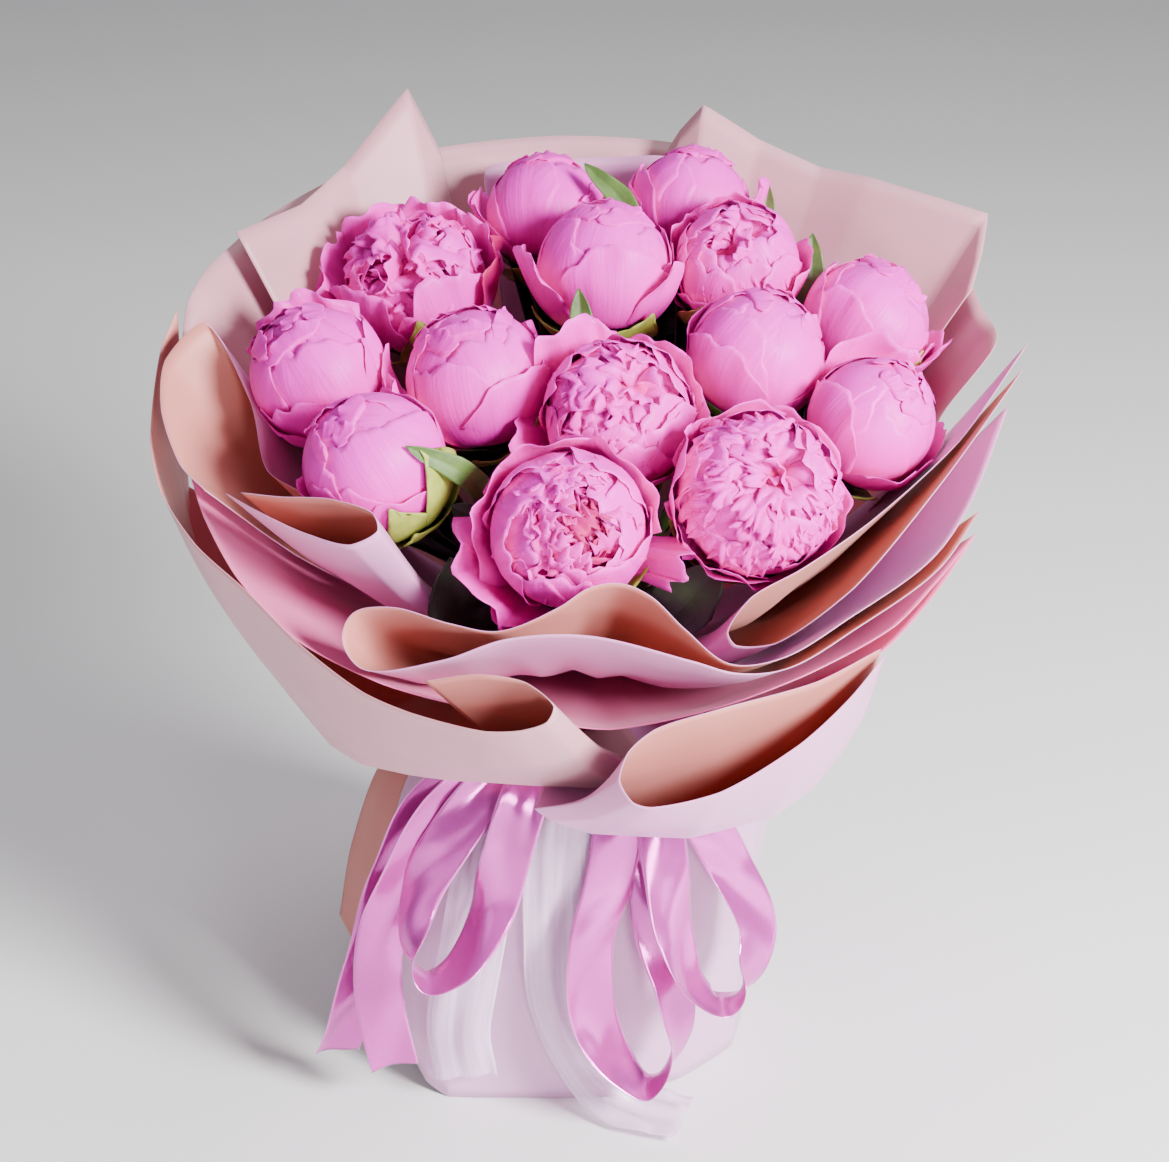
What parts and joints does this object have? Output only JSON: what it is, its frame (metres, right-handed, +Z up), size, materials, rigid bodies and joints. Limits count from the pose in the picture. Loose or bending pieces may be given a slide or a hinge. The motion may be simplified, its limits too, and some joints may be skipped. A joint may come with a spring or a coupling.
{
  "type": "wrapped peony bouquet",
  "caption": "Hand-tied bouquet of round double peonies in layered two-tone wrapping paper, with satin and sheer ribbon bows, standing on its stiff paper foot.",
  "frame": {"origin": "middle of the central stem's cut end, on the table", "axes": "+Z up along the bouquet, front of the bouquet towards -Y, +X to the right as seen from the front"},
  "size_m": [0.4357, 0.4266, 0.4736],
  "materials": {
    "petals": "soft matte petals, pale at the rims and deep pink in the folds",
    "green": "waxy green stems, calyxes and leaves",
    "paper_blush": "smooth matte blush paper with a dusty rose reverse",
    "paper_lilac": "smooth matte pale lilac paper with a dusty rose reverse",
    "paper_rose": "smooth matte rose paper",
    "satin": "glossy orchid satin ribbon",
    "organza": "sheer white organza ribbon",
    "twine": "natural jute twine"
  },
  "bodies": {
    "root": {"bloom_01": "petals", "bloom_02": "petals", "bloom_03": "petals", "bloom_04": "petals", "bloom_05": "petals", "bloom_06": "petals", "bloom_07": "petals", "bloom_08": "petals", "bloom_09": "petals", "bloom_10": "petals", "bloom_11": "petals", "bloom_12": "petals", "bloom_13": "petals", "bloom_14": "petals", "stem_01": "green", "stem_02": "green", "stem_03": "green", "stem_04": "green", "stem_05": "green", "stem_06": "green", "stem_07": "green", "stem_08": "green", "stem_09": "green", "stem_10": "green", "stem_11": "green", "stem_12": "green", "stem_13": "green", "stem_14": "green", "twine_tie": "twine", "paper_liner": "paper_lilac", "paper_back_left": "paper_blush", "paper_back_right": "paper_blush", "paper_back": "paper_blush", "paper_side_left": "paper_lilac", "paper_roll_left": "paper_lilac", "paper_side_right": "paper_blush", "paper_wave": "paper_lilac", "paper_rose": "paper_rose", "paper_collar_left": "paper_lilac", "paper_collar_right": "paper_blush", "paper_foot": "paper_blush", "satin_band": "satin", "satin_bow_left": "satin", "satin_bow_right": "satin", "sheer_ribbon": "organza"}
  },
  "joints": []
}
